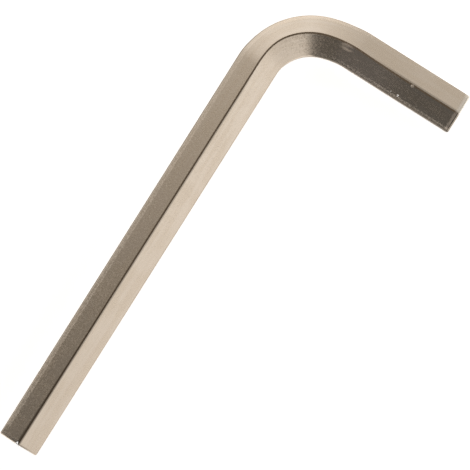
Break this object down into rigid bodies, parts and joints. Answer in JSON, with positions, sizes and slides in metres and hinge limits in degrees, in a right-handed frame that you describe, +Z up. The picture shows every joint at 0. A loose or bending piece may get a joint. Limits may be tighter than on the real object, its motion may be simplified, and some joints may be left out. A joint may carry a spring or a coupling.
{
  "type": "hex key",
  "caption": "L-shaped hex key: nickel-plated hexagonal steel bar with a short arm and a long arm, to turn a screw with a hexagon socket.",
  "frame": {"origin": "centre of the key's plan box, at the height of the surface that it lies on", "axes": "+Z up from the surface, with the key on its side; the long arm runs towards -Y and the short arm towards +X"},
  "size_m": [0.0464, 0.1134, 0.0102],
  "materials": {
    "nickel_plate": "satin nickel plate, warm grey"
  },
  "bodies": {
    "root": {"hex_key": "nickel_plate"}
  },
  "joints": []
}
